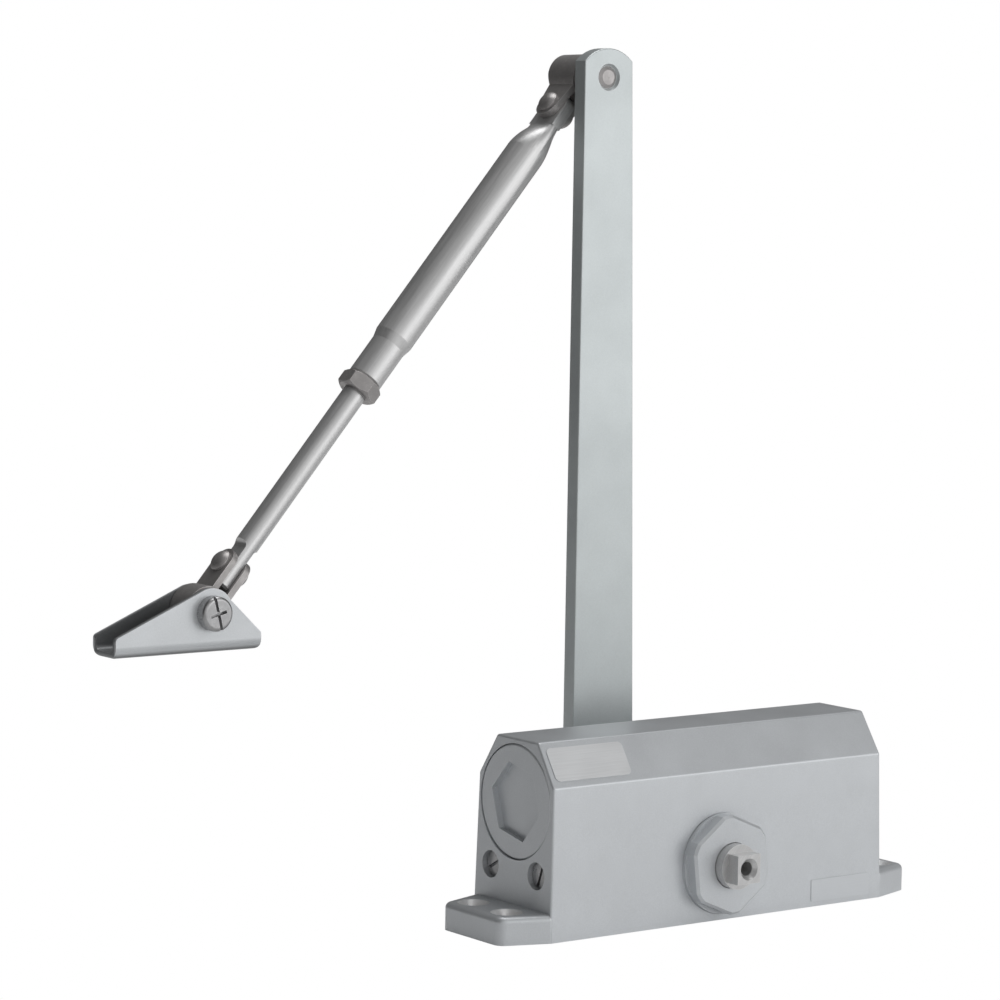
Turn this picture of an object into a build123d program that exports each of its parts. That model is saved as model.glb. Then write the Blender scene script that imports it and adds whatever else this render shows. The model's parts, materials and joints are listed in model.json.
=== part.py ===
from build123d import *
import math
import os

# Door closer, rack and pinion, surface mounted.
# Frame: X along the body, +Y towards the arm, +Z out of the mounting face.
# The origin is the centre of the mounting pattern, on the mounting face.
# All sizes are in millimetres.

os.makedirs("parts", exist_ok=True)

# Body casting
BODY_HALF_BASE = 74.0
BODY_HALF_TOP = 72.7
SIDE_HALF_BASE = 22.0
SIDE_HALF_SHOULDER = 21.0
SHOULDER_Z = 51.7
TOP_HALF = 11.5
BODY_H = 66.0
FLANGE_T = 9.5
FLANGE_END = 91.0
FLANGE_END_HALF = 16.0
FLANGE_HALF = 21.8
FLANGE_ROUND = 2.0
EDGE_ROUND = 0.8
HOLE_DX = 166.0
HOLE_DY = 19.0
HOLE_R = 3.1
SINK_R = 5.5

# Cylinder and its two end caps
BORE_Z = 44.4
BORE_R = 17.0
CAP_FACE = 73.0
CAP_R = 19.5
CAP_T = 8.0
CAP_SKIRT_R = 18.0
CAP_SKIRT_END = 59.0
HEX_AF = 24.0
HEX_DEPTH = 2.3

# Spindle and its bearings
SPINDLE_Z = 19.9
PITCH_R = 12.0
TOOTH_N = 12
MODULE = 2.0
PRESSURE = math.radians(25)
JOURNAL_R = 8.0
SHAFT_R = 7.8
SQUARE = 10.0
SPINDLE_END = 36.2
SQUARE_START = 31.2
NUT_FACE = 27.6
NUT_AF = 32.0
NUT_FLANGE_R = 17.4
NUT_FLANGE_T = 1.4
NUT_TURN = 23
NUT_BEVEL = 0.9
NUT_THREAD_R = 14.2
NUT_INNER_Y = 13.6
SIDE_Y = 21.6

# Piston and springs
PISTON_R = 16.9
PISTON_LEFT = -56.0
PISTON_RIGHT = 12.0
RACK_TIP_Z = SPINDLE_Z + PITCH_R - 1.8
RACK_ROOT_Z = SPINDLE_Z + PITCH_R + 2.4
SPRING_SEAT = 65.0

# Speed valves
VALVE_Y = 12.8
VALVE_Z = 21.2
VALVE_FACE = 73.6

# Main arm
ARM_FRONT = 45.2
ARM_T = 6.0
ARM_ROUND = 0.45
ARM_HUB_Y = 31.4
ARM_HUB_R = 14.1
ARM_TOP_HALF = 10.6
ARM_TOP_R = 14.6
ELBOW_X = -3.6
ELBOW_Z = 289.3

# Forearm, from the elbow pivot to the shoe pivot
FORE_Y = 62.5
FORE_ANGLE = math.radians(49.4)
FORE_LEN = 239.5
TUBE_R = 7.0
NECK_R = 6.2
TUBE_END = 139.6
THROAT_AT = 23.5
THROAT_END = 36.0
STEP_AT = 121.0
LOCK_T = 5.7
LOCK_AF = 13.0
LOCK_TURN = 57.5
ROD_R = 4.2
THREAD_R = 4.0
ROD_FLAT_AT = 211.5
CUTTER_RUN = 2.2
STRAP_HALF = 4.4
FORK_GAP = 2.1
FLAT_HALF = 2.0
LEG_END_R = 5.4
ELBOW_CROSS = 15.6
SHOE_CROSS = 17.6
PIVOT_BORE = 5.5

# Shoe
SHOE_FRONT = 55.0
SHOE_BACK = 70.0
SHOE_T = 2.0
SHOE_BEND = 4.0
SHOE_BASE_Z = 94.0
SHOE_HOLES = 40.0

COS_F = math.cos(FORE_ANGLE)
SIN_F = math.sin(FORE_ANGLE)
SHOE_X = ELBOW_X - FORE_LEN * COS_F
SHOE_Z = ELBOW_Z - FORE_LEN * SIN_F

# Local planes. On FORE the first direction runs down the forearm, the second
# square to it in the swing plane, and the normal is +Y.
FORE = Plane(origin=(ELBOW_X, FORE_Y, ELBOW_Z), x_dir=(-COS_F, 0, -SIN_F), z_dir=(0, 1, 0))
FORE_AXIS = Axis((ELBOW_X, FORE_Y, ELBOW_Z), (-COS_F, 0, -SIN_F))
FORE_UP = (-SIN_F, 0, COS_F)
SHOE_FORE = Plane(origin=(SHOE_X, FORE_Y, SHOE_Z), x_dir=(COS_F, 0, SIN_F), z_dir=(0, 1, 0))
SPINDLE_AXIS = Axis((0, 0, SPINDLE_Z), (0, 1, 0))
BORE_AXIS = Axis((0, 0, BORE_Z), (1, 0, 0))


def fore_plane(along, up=0.0):
    """Plane square to the swing plane and parallel to the forearm."""
    x = ELBOW_X - along * COS_F - up * SIN_F
    z = ELBOW_Z - along * SIN_F + up * COS_F
    return Plane(origin=(x, FORE_Y, z), x_dir=(-COS_F, 0, -SIN_F), z_dir=FORE_UP)


def fore_section(along):
    """Plane square to the forearm: x_dir is +Y, y_dir is across the fork."""
    x = ELBOW_X - along * COS_F
    z = ELBOW_Z - along * SIN_F
    return Plane(origin=(x, FORE_Y, z), x_dir=(0, 1, 0), z_dir=(COS_F, 0, SIN_F))


def y_plane(y, x=0.0, z=0.0):
    """Plane facing +Y at the given depth: x_dir is +X, y_dir is -Z."""
    return Plane(origin=(x, y, z), x_dir=(1, 0, 0), z_dir=(0, 1, 0))


def x_plane(x, y=0.0, z=0.0):
    """Plane facing +X: x_dir is +Y, y_dir is +Z."""
    return Plane(origin=(x, y, z), x_dir=(0, 1, 0), z_dir=(1, 0, 0))


def save(part, name):
    part.label = name
    export_step(part, "parts/" + name + ".step")


# ---------------------------------------------------------------- housing
# Mounting flange with tapered ends and a rounded top edge
with BuildPart() as flange:
    with BuildSketch(Plane.XY):
        with BuildLine():
            Polyline(
                (-FLANGE_END, -FLANGE_END_HALF),
                (-BODY_HALF_BASE, -FLANGE_HALF),
                (BODY_HALF_BASE, -FLANGE_HALF),
                (FLANGE_END, -FLANGE_END_HALF),
                (FLANGE_END, FLANGE_END_HALF),
                (BODY_HALF_BASE, FLANGE_HALF),
                (-BODY_HALF_BASE, FLANGE_HALF),
                (-FLANGE_END, FLANGE_END_HALF),
                close=True,
            )
        flange_face = make_face()
        fillet(flange_face.vertices().filter_by(lambda v: abs(v.X) > FLANGE_END - 1), 4.0)
    extrude(amount=FLANGE_T)
    fillet(flange.edges().group_by(Axis.Z)[-1], FLANGE_ROUND)

with BuildPart() as housing:
    # Octagon-topped block, drafted on every side
    with BuildSketch(Plane.YZ):
        with BuildLine():
            Polyline(
                (-SIDE_HALF_BASE, 0),
                (-SIDE_HALF_SHOULDER, SHOULDER_Z),
                (-TOP_HALF, BODY_H),
                (TOP_HALF, BODY_H),
                (SIDE_HALF_SHOULDER, SHOULDER_Z),
                (SIDE_HALF_BASE, 0),
                close=True,
            )
        make_face()
    extrude(amount=BODY_HALF_BASE + 1, both=True)
    with BuildSketch(Plane.XZ):
        with BuildLine():
            Polyline(
                (-BODY_HALF_BASE, 0),
                (-BODY_HALF_TOP, BODY_H),
                (BODY_HALF_TOP, BODY_H),
                (BODY_HALF_BASE, 0),
                close=True,
            )
        make_face()
    extrude(amount=SIDE_HALF_BASE + 1, both=True, mode=Mode.INTERSECT)
    fillet(housing.edges().filter_by(Axis.X).group_by(Axis.Z)[1:], 1.4)
    for end_face in (housing.faces().sort_by(Axis.X)[0], housing.faces().sort_by(Axis.X)[-1]):
        fillet(end_face.edges().filter_by(lambda e: e.center().Z > 1), EDGE_ROUND)
    add(flange.part)
    # Countersunk mounting holes
    with Locations(Plane.XY.offset(FLANGE_T)):
        with GridLocations(HOLE_DX, HOLE_DY, 2, 2):
            CounterSinkHole(radius=HOLE_R, counter_sink_radius=SINK_R, depth=FLANGE_T)
    # Cylinder bore, cap threads and cap seats
    with BuildSketch(x_plane(-BODY_HALF_BASE - 1, 0, BORE_Z)):
        Circle(BORE_R)
    extrude(amount=2 * BODY_HALF_BASE + 2, mode=Mode.SUBTRACT)
    for side in (-1, 1):
        with BuildSketch(x_plane(side * 58.6, 0, BORE_Z)):
            Circle(CAP_SKIRT_R + 0.05)
        extrude(amount=side * 20, mode=Mode.SUBTRACT)
        with BuildSketch(x_plane(side * (CAP_FACE - CAP_T), 0, BORE_Z)):
            Circle(CAP_R + 0.25)
        extrude(amount=side * 20, mode=Mode.SUBTRACT)
    # Cross bore for the spindle, its bearings and the bearing nuts
    with BuildSketch(y_plane(-SIDE_HALF_BASE - 1, 0, SPINDLE_Z)):
        Circle(NUT_THREAD_R + 0.05)
    extrude(amount=2 * SIDE_HALF_BASE + 2, mode=Mode.SUBTRACT)
    # Flat seats under the bearing nuts
    for side in (-1, 1):
        with BuildSketch(y_plane(side * SIDE_Y, 0, SPINDLE_Z)):
            Circle(NUT_FLANGE_R + 0.4)
        extrude(amount=side * 5, mode=Mode.SUBTRACT)
    # Valve drillings: screw pocket, needle bore and the rise to the cylinder
    for side in (-1, 1):
        with BuildSketch(x_plane(-BODY_HALF_BASE - 1, side * VALVE_Y, VALVE_Z)):
            Circle(4.7)
        extrude(amount=6.5, mode=Mode.SUBTRACT)
        with BuildSketch(x_plane(-BODY_HALF_BASE - 1, side * VALVE_Y, VALVE_Z)):
            Circle(3.3)
        extrude(amount=25, mode=Mode.SUBTRACT)
        with BuildSketch(x_plane(-52, side * VALVE_Y, VALVE_Z)):
            Circle(1.5)
        extrude(amount=10, mode=Mode.SUBTRACT)
        for rise in (-54.5, -44.0):
            with BuildSketch(Plane.XY.offset(VALVE_Z)):
                with Locations((rise, side * VALVE_Y)):
                    Circle(1.2)
            extrude(amount=13.5, mode=Mode.SUBTRACT)
save(housing.part, "housing")

# ---------------------------------------------------------------- end caps
for side, cap_name in ((-1, "end_cap_left"), (1, "end_cap_right")):
    with BuildPart() as end_cap:
        with BuildSketch(x_plane(side * CAP_FACE, 0, BORE_Z)):
            Circle(CAP_R)
        extrude(amount=-side * CAP_T)
        with BuildSketch(x_plane(side * (CAP_FACE - CAP_T), 0, BORE_Z)):
            Circle(CAP_SKIRT_R)
            Circle(16.0, mode=Mode.SUBTRACT)
        extrude(amount=-side * (CAP_FACE - CAP_T - CAP_SKIRT_END - 2.4))
        with BuildSketch(x_plane(side * CAP_FACE, 0, BORE_Z)):
            RegularPolygon(HEX_AF / 2, 6, major_radius=False, rotation=12)
        extrude(amount=-side * HEX_DEPTH, mode=Mode.SUBTRACT)
        chamfer(end_cap.faces().filter_by(Axis.X).group_by(Axis.X)[0 if side < 0 else -1].edges().filter_by(GeomType.CIRCLE), 0.5)
    save(end_cap.part, cap_name)
    with BuildPart() as cap_seal:
        with BuildSketch(Plane.XZ):
            with Locations((side * 60.1, BORE_Z + 16.85)):
                Circle(1.1)
        revolve(axis=BORE_AXIS)
    save(cap_seal.part, cap_name + "_seal")

# ---------------------------------------------------------------- speed valves
for side, valve_name in ((1, "sweep_valve_screw"), (-1, "latch_valve_screw")):
    slot_angle = 60 if side > 0 else 20
    with BuildPart() as valve_screw:
        with BuildSketch(x_plane(-71.6, side * VALVE_Y, VALVE_Z)):
            Circle(4.3)
        extrude(amount=2.8)
        with BuildSketch(x_plane(-68.8, side * VALVE_Y, VALVE_Z)):
            Circle(2.3)
        extrude(amount=3.0)
        with BuildSketch(x_plane(-65.8, side * VALVE_Y, VALVE_Z)):
            Circle(3.2)
        extrude(amount=12.0)
        with BuildSketch(x_plane(-53.8, side * VALVE_Y, VALVE_Z)):
            Circle(1.3)
        extrude(amount=5.0, taper=8)
        with BuildSketch(x_plane(-71.6, side * VALVE_Y, VALVE_Z)):
            Rectangle(1.2, 12, rotation=slot_angle)
        extrude(amount=1.3, mode=Mode.SUBTRACT)
    save(valve_screw.part, valve_name)
    with BuildPart() as valve_seal:
        with BuildSketch(Plane(origin=(0, side * VALVE_Y, 0), x_dir=(1, 0, 0), z_dir=(0, -1, 0))):
            with Locations((-67.3, VALVE_Z + 2.75)):
                Circle(0.42)
        revolve(axis=Axis((0, side * VALVE_Y, VALVE_Z), (1, 0, 0)))
    save(valve_seal.part, valve_name.replace("screw", "seal"))

# ---------------------------------------------------------------- spindle
base_r = PITCH_R * math.cos(PRESSURE)
inv_pitch = math.tan(PRESSURE) - PRESSURE
half_tooth = math.pi / 2 / TOOTH_N - 0.14 / PITCH_R


def flank_point(radius):
    """Point on one flank of the tooth that stands on +Y of the sketch."""
    roll = math.acos(min(1.0, base_r / radius))
    angle = half_tooth + inv_pitch - (math.tan(roll) - roll)
    return radius * math.sin(angle), radius * math.cos(angle)


with BuildPart() as pinion_shaft:
    with BuildSketch(y_plane(-9.5, 0, SPINDLE_Z)):
        Circle(9.4)
        radii = (base_r + 0.05, 11.4, 12.0, 12.7, 13.4)
        right = [flank_point(r) for r in radii]
        left = [(-x, y) for x, y in reversed(right)]
        foot = (right[0][0], 8.0)
        with BuildLine(mode=Mode.PRIVATE) as tooth_line:
            Polyline(foot, *right, *left, (-foot[0], 8.0), close=True)
        tooth = make_face(tooth_line.line, mode=Mode.PRIVATE)
        for step in range(TOOTH_N):
            add(tooth.rotate(Axis.Z, 360 / TOOTH_N * step))
    extrude(amount=19)
    # Collars, journals and shaft ends, the same on both sides
    for side in (-1, 1):
        with BuildSketch(y_plane(0, 0, SPINDLE_Z)):
            Circle(JOURNAL_R)
        extrude(amount=side * 20.1)
        with BuildSketch(y_plane(side * 9.5, 0, SPINDLE_Z)):
            Circle(10.4)
        extrude(amount=side * 2.0)
        with BuildSketch(y_plane(side * 20.0, 0, SPINDLE_Z)):
            Circle(SHAFT_R)
        extrude(amount=side * (SQUARE_START - 20.0))
        with BuildSketch(y_plane(side * SQUARE_START, 0, SPINDLE_Z)):
            Rectangle(SQUARE, SQUARE)
        extrude(amount=side * (SPINDLE_END - SQUARE_START))
        with BuildSketch(y_plane(side * SPINDLE_END, 0, SPINDLE_Z)):
            Circle(2.5)
        extrude(amount=-side * 16, mode=Mode.SUBTRACT)
        with BuildSketch(y_plane(side * SPINDLE_END, 0, SPINDLE_Z)):
            Circle(3.8)
        extrude(amount=-side * 1.5, taper=40, mode=Mode.SUBTRACT)
save(pinion_shaft.part, "pinion_shaft")

for side, end in ((-1, "front"), (1, "rear")):
    # Bearing nut: threaded sleeve, round flange and chamfered hexagon
    with BuildPart() as bearing_nut:
        with BuildSketch(y_plane(side * NUT_INNER_Y, 0, SPINDLE_Z)):
            Circle(NUT_THREAD_R)
        extrude(amount=side * (SIDE_Y - NUT_INNER_Y))
        with BuildSketch(y_plane(side * SIDE_Y, 0, SPINDLE_Z)):
            Circle(NUT_FLANGE_R)
        extrude(amount=side * NUT_FLANGE_T)
        with BuildSketch(y_plane(side * (SIDE_Y + NUT_FLANGE_T), 0, SPINDLE_Z)):
            RegularPolygon(NUT_AF / 2, 6, major_radius=False, rotation=NUT_TURN)
            Circle(NUT_FLANGE_R, mode=Mode.INTERSECT)
        extrude(amount=side * (NUT_FACE - SIDE_Y - NUT_FLANGE_T))
        chamfer(bearing_nut.faces().sort_by(Axis.Y)[-1 if side > 0 else 0].edges(), NUT_BEVEL)
        with BuildSketch(y_plane(side * NUT_INNER_Y, 0, SPINDLE_Z)):
            Circle(12.7)
        extrude(amount=side * (24.0 - NUT_INNER_Y), mode=Mode.SUBTRACT)
        with BuildSketch(y_plane(side * 20, 0, SPINDLE_Z)):
            Circle(8.0)
        extrude(amount=side * 10, mode=Mode.SUBTRACT)
    save(bearing_nut.part, end + "_bearing_nut")

    # Needle bearing: outer race and a ring of rollers
    with BuildPart() as bearing_race:
        with BuildSketch(y_plane(side * 13.8, 0, SPINDLE_Z)):
            Circle(12.65)
            Circle(10.9, mode=Mode.SUBTRACT)
        extrude(amount=side * 6.2)
    save(bearing_race.part, end + "_bearing_race")
    with BuildPart() as bearing_rollers:
        with BuildSketch(y_plane(side * 14.1, 0, SPINDLE_Z)):
            with PolarLocations(9.45, 16):
                Circle(1.35)
        extrude(amount=side * 5.6)
    save(bearing_rollers.part, end + "_bearing_rollers")

    # Shaft seal
    with BuildPart() as shaft_seal:
        with BuildSketch(y_plane(side * 20.2, 0, SPINDLE_Z)):
            Circle(12.65)
            Circle(7.9, mode=Mode.SUBTRACT)
        extrude(amount=side * 3.7)
        with BuildSketch(y_plane(side * 20.2, 0, SPINDLE_Z)):
            Circle(11.4)
            Circle(9.2, mode=Mode.SUBTRACT)
        extrude(amount=side * 2.4, mode=Mode.SUBTRACT)
    save(shaft_seal.part, end + "_shaft_seal")

# ---------------------------------------------------------------- piston
with BuildPart() as piston:
    with BuildSketch(x_plane(PISTON_LEFT, 0, BORE_Z)):
        Circle(PISTON_R)
    extrude(amount=PISTON_RIGHT - PISTON_LEFT)
    chamfer(piston.edges().filter_by(GeomType.CIRCLE), 0.6)
    # The belly is cut away between the left head and the right rim, over the pinion
    with BuildSketch(Plane.XZ):
        with BuildLine():
            Polyline(
                (-44.0, 20.0),
                (-44.0, RACK_TIP_Z),
                (PISTON_RIGHT + 1, RACK_TIP_Z),
                (PISTON_RIGHT + 1, 20.0),
                close=True,
            )
        make_face()
    extrude(amount=20, both=True, mode=Mode.SUBTRACT)
    # Rack teeth: the gaps are straight sided and centred on the spindle at rest
    pitch = math.pi * MODULE
    half_gap = pitch / 4
    up = RACK_ROOT_Z - (SPINDLE_Z + PITCH_R)
    down = SPINDLE_Z + PITCH_R - RACK_TIP_Z + 0.5
    with BuildSketch(Plane.XZ):
        for step in range(-6, 2):
            centre = step * pitch
            with BuildLine():
                Polyline(
                    (centre - half_gap - down * math.tan(PRESSURE), RACK_TIP_Z - 0.5),
                    (centre - half_gap + up * math.tan(PRESSURE), RACK_ROOT_Z),
                    (centre + half_gap - up * math.tan(PRESSURE), RACK_ROOT_Z),
                    (centre + half_gap + down * math.tan(PRESSURE), RACK_TIP_Z - 0.5),
                    close=True,
                )
            make_face()
    extrude(amount=20, both=True, mode=Mode.SUBTRACT)
    # Oil passage with the check ball pocket at its left mouth
    with BuildSketch(x_plane(PISTON_LEFT - 1, 0, 50.0)):
        Circle(1.6)
    extrude(amount=PISTON_RIGHT - PISTON_LEFT + 2, mode=Mode.SUBTRACT)
    with BuildSketch(x_plane(PISTON_LEFT, 0, 50.0)):
        Circle(3.5)
    extrude(amount=7.6, mode=Mode.SUBTRACT)
    # Two seal grooves round the left head
    for groove in (-53.0, -47.5):
        with BuildSketch(x_plane(groove, 0, BORE_Z)):
            Circle(PISTON_R + 1)
            Circle(PISTON_R - 0.8, mode=Mode.SUBTRACT)
        extrude(amount=1.5, mode=Mode.SUBTRACT)
save(piston.part, "piston")

with BuildPart() as check_ball:
    with Locations((PISTON_LEFT + 5.35, 0, 50.0)):
        Sphere(2.7)
save(check_ball.part, "check_ball")

with BuildPart() as check_retainer:
    with BuildSketch(x_plane(PISTON_LEFT + 0.2, 0, 50.0)):
        Circle(3.45)
        Circle(1.3, mode=Mode.SUBTRACT)
    extrude(amount=0.6)
save(check_retainer.part, "check_retainer")

# ---------------------------------------------------------------- springs
for spring_name, coil_r, wire_r, turns, lefthand in (
    ("spring_outer", 14.0, 1.55, 6, False),
    ("spring_inner", 9.6, 1.2, 7, True),
):
    coil_len = SPRING_SEAT - PISTON_RIGHT - 0.2 - 2 * wire_r
    with BuildPart() as spring:
        with BuildLine():
            coil = Helix(
                pitch=coil_len / turns,
                height=coil_len,
                radius=coil_r,
                center=(PISTON_RIGHT + 0.1 + wire_r, 0, BORE_Z),
                direction=(1, 0, 0),
                lefthand=lefthand,
            )
        with BuildSketch(Plane(origin=coil @ 0, z_dir=coil % 0)):
            Circle(wire_r)
        sweep()
    save(spring.part, spring_name)

# ---------------------------------------------------------------- main arm
arm_back = ARM_FRONT + ARM_T
hub_back = ARM_HUB_Y + ARM_T
lean = math.atan2(-ELBOW_X, ELBOW_Z - SPINDLE_Z)
bend_shift = ARM_T * math.tan(math.atan2(ARM_FRONT - ARM_HUB_Y, 21.5) / 2)
with BuildPart() as main_arm:
    # Edge-on shape: hub, joggle and straight blade
    with BuildSketch(Plane.YZ):
        with BuildLine():
            arm_edge = Polyline(
                (ARM_HUB_Y, SPINDLE_Z - 20),
                (ARM_HUB_Y, SPINDLE_Z + 16.5),
                (ARM_FRONT, SPINDLE_Z + 38.0),
                (ARM_FRONT, ELBOW_Z + 20),
                (arm_back, ELBOW_Z + 20),
                (arm_back, SPINDLE_Z + 38.0 - bend_shift),
                (hub_back, SPINDLE_Z + 16.5 - bend_shift),
                (hub_back, SPINDLE_Z - 20),
                close=True,
            )
        arm_face = make_face()
        bends = arm_face.vertices().filter_by(lambda v: SPINDLE_Z < v.Z < SPINDLE_Z + 60)
        fillet(bends, 5.0)
    extrude(amount=20, both=True)
    # Face-on outline: round hub, tapering blade and arched tip
    with BuildSketch(Plane(origin=(0, 0, SPINDLE_Z), x_dir=(math.cos(lean), 0, math.sin(lean)), z_dir=(0, -1, 0))):
        reach = math.hypot(ELBOW_X, ELBOW_Z - SPINDLE_Z)
        tip = 10.2
        shoulder = tip - (ARM_TOP_R - math.sqrt(ARM_TOP_R**2 - ARM_TOP_HALF**2))
        side_top = math.hypot(ARM_TOP_HALF, reach + shoulder)
        touch = math.atan2(reach + shoulder, ARM_TOP_HALF) - math.acos(ARM_HUB_R / side_top)
        touch_x = ARM_HUB_R * math.cos(touch)
        touch_y = ARM_HUB_R * math.sin(touch)
        with BuildLine():
            Line((-ARM_TOP_HALF, reach + shoulder), (-touch_x, touch_y))
            ThreePointArc(
                (-touch_x, touch_y),
                (0, -ARM_HUB_R),
                (touch_x, touch_y),
            )
            Line((touch_x, touch_y), (ARM_TOP_HALF, reach + shoulder))
            ThreePointArc(
                (ARM_TOP_HALF, reach + shoulder),
                (0, reach + tip),
                (-ARM_TOP_HALF, reach + shoulder),
            )
        make_face()
    extrude(amount=-80, mode=Mode.INTERSECT)
    # Small round along both rims
    across = main_arm.edges().filter_by(lambda e: abs(e.tangent_at(0.5).X) > 0.95)
    bend_lines = across.filter_by(lambda e: SPINDLE_Z < e.center().Z < ELBOW_Z)
    corners = main_arm.edges().filter_by(lambda e: abs(e.tangent_at(0.5).Y) > 0.99)
    rims = [e for e in main_arm.edges() if e not in bend_lines and e not in corners]
    fillet(rims, ARM_ROUND)
    # Square hub hole and the rivet seat at the tip
    with BuildSketch(y_plane(ARM_HUB_Y - 1, 0, SPINDLE_Z)):
        Rectangle(SQUARE + 0.1, SQUARE + 0.1)
    extrude(amount=ARM_T + 2, mode=Mode.SUBTRACT)
    with BuildSketch(y_plane(ARM_FRONT - 1, ELBOW_X, ELBOW_Z)):
        Circle(4.0)
    extrude(amount=ARM_T + 2, mode=Mode.SUBTRACT)
    with BuildSketch(y_plane(ARM_FRONT, ELBOW_X, ELBOW_Z)):
        Circle(4.8)
    extrude(amount=1.0, taper=35, mode=Mode.SUBTRACT)
save(main_arm.part, "main_arm")

with BuildPart() as arm_washer:
    with BuildSketch(y_plane(hub_back, 0, SPINDLE_Z)):
        Circle(9.0)
        Circle(3.3, mode=Mode.SUBTRACT)
    extrude(amount=1.6)
save(arm_washer.part, "arm_washer")

with BuildPart() as arm_screw:
    with BuildSketch(y_plane(hub_back + 1.6, 0, SPINDLE_Z)):
        Circle(5.6)
    extrude(amount=4.0)
    fillet(arm_screw.edges().group_by(Axis.Y)[-1], 1.6)
    with BuildSketch(y_plane(hub_back + 1.6, 0, SPINDLE_Z)):
        Circle(2.45)
    extrude(amount=-15.0)
    with BuildSketch(y_plane(hub_back + 5.6, 0, SPINDLE_Z)):
        RegularPolygon(2.0, 6, major_radius=False)
    extrude(amount=-2.4, mode=Mode.SUBTRACT)
save(arm_screw.part, "arm_screw")

# ---------------------------------------------------------------- elbow
with BuildPart() as elbow_rivet:
    # Revolved stepped pin: domed front head, shank, journal and rear head
    with BuildSketch(Plane.XY.offset(ELBOW_Z)):
        with BuildLine():
            Polyline(
                (ELBOW_X, ARM_FRONT + 0.25),
                (ELBOW_X + 2.6, ARM_FRONT + 0.3),
                (ELBOW_X + 3.9, ARM_FRONT + 1.0),
                (ELBOW_X + 3.9, arm_back + 0.2),
                (ELBOW_X + 5.4, arm_back + 0.2),
                (ELBOW_X + 5.4, 70.1),
                (ELBOW_X + 7.2, 70.1),
                (ELBOW_X + 6.4, 71.5),
                (ELBOW_X + 4.2, 72.3),
                (ELBOW_X, 72.6),
                close=True,
            )
        make_face()
    revolve(axis=Axis((ELBOW_X, 0, ELBOW_Z), (0, 1, 0)))
save(elbow_rivet.part, "elbow_rivet")

with BuildPart() as elbow_spacer:
    with BuildSketch(y_plane(arm_back + 0.05, ELBOW_X, ELBOW_Z)):
        Circle(8.0)
        Circle(5.5, mode=Mode.SUBTRACT)
    extrude(amount=3.6)
save(elbow_spacer.part, "elbow_spacer")


# Knuckle: one strap bent round a pivot, whose two legs make a fork
for knuckle_name, knuckle_plane, loop_r, half_w, cross in (
    ("elbow_knuckle", FORE, 8.3, 7.5, ELBOW_CROSS),
    ("shoe_knuckle", SHOE_FORE, 8.8, 5.2, SHOE_CROSS),
):
    leg_len = cross + LEG_END_R
    with BuildPart() as knuckle:
        with BuildSketch(knuckle_plane):
            Circle(loop_r)
            with Locations((leg_len / 2, 0)):
                Rectangle(leg_len, 2 * STRAP_HALF)
            fillet(
                [v for v in vertices() if 3 < abs(knuckle_plane.to_local_coords(Vector(v)).X) < 12],
                4.0,
            )
            Circle(PIVOT_BORE, mode=Mode.SUBTRACT)
            with Locations((leg_len / 2 + 1, 0)):
                Rectangle(leg_len + 2, 2 * FORK_GAP, mode=Mode.SUBTRACT)
        extrude(amount=half_w, both=True)
        # Plan of the strap: full width at the loop, waisted, and round about the fork rivet
        plan = Plane(
            origin=knuckle_plane.origin,
            x_dir=knuckle_plane.x_dir,
            z_dir=knuckle_plane.y_dir,
        )
        with BuildSketch(plan):
            with BuildLine():
                Polyline(
                    (-loop_r - 1, -half_w),
                    (4.0, -half_w),
                    (cross, -LEG_END_R),
                    (cross, LEG_END_R),
                    (4.0, half_w),
                    (-loop_r - 1, half_w),
                    close=True,
                )
            make_face()
            with Locations((cross, 0)):
                Circle(LEG_END_R)
        extrude(amount=20, both=True, mode=Mode.INTERSECT)
        # Cross hole for the fork rivet
        with BuildSketch(plan):
            with Locations((cross, 0)):
                Circle(2.75)
        extrude(amount=20, both=True, mode=Mode.SUBTRACT)
    save(knuckle.part, knuckle_name)

# Fork rivets, with a domed head on each side
for rivet_name, along in (
    ("elbow_fork_rivet", ELBOW_CROSS),
    ("shoe_fork_rivet", FORE_LEN - SHOE_CROSS),
):
    with BuildPart() as fork_rivet:
        with BuildSketch(FORE):
            with BuildLine():
                Polyline((along, -7.0), (along, 7.0))
                Spline((along, 7.0), (along + 2.7, 6.4), (along + 4.0, 5.2))
                Polyline(
                    (along + 4.0, 5.2),
                    (along + 4.0, 4.45),
                    (along + 2.7, 4.45),
                    (along + 2.7, -4.45),
                    (along + 4.0, -4.45),
                    (along + 4.0, -5.2),
                )
                Spline((along + 4.0, -5.2), (along + 2.7, -6.4), (along, -7.0))
            make_face()
        revolve(axis=Axis(fore_plane(along).origin, FORE_UP))
    save(fork_rivet.part, rivet_name)

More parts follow.
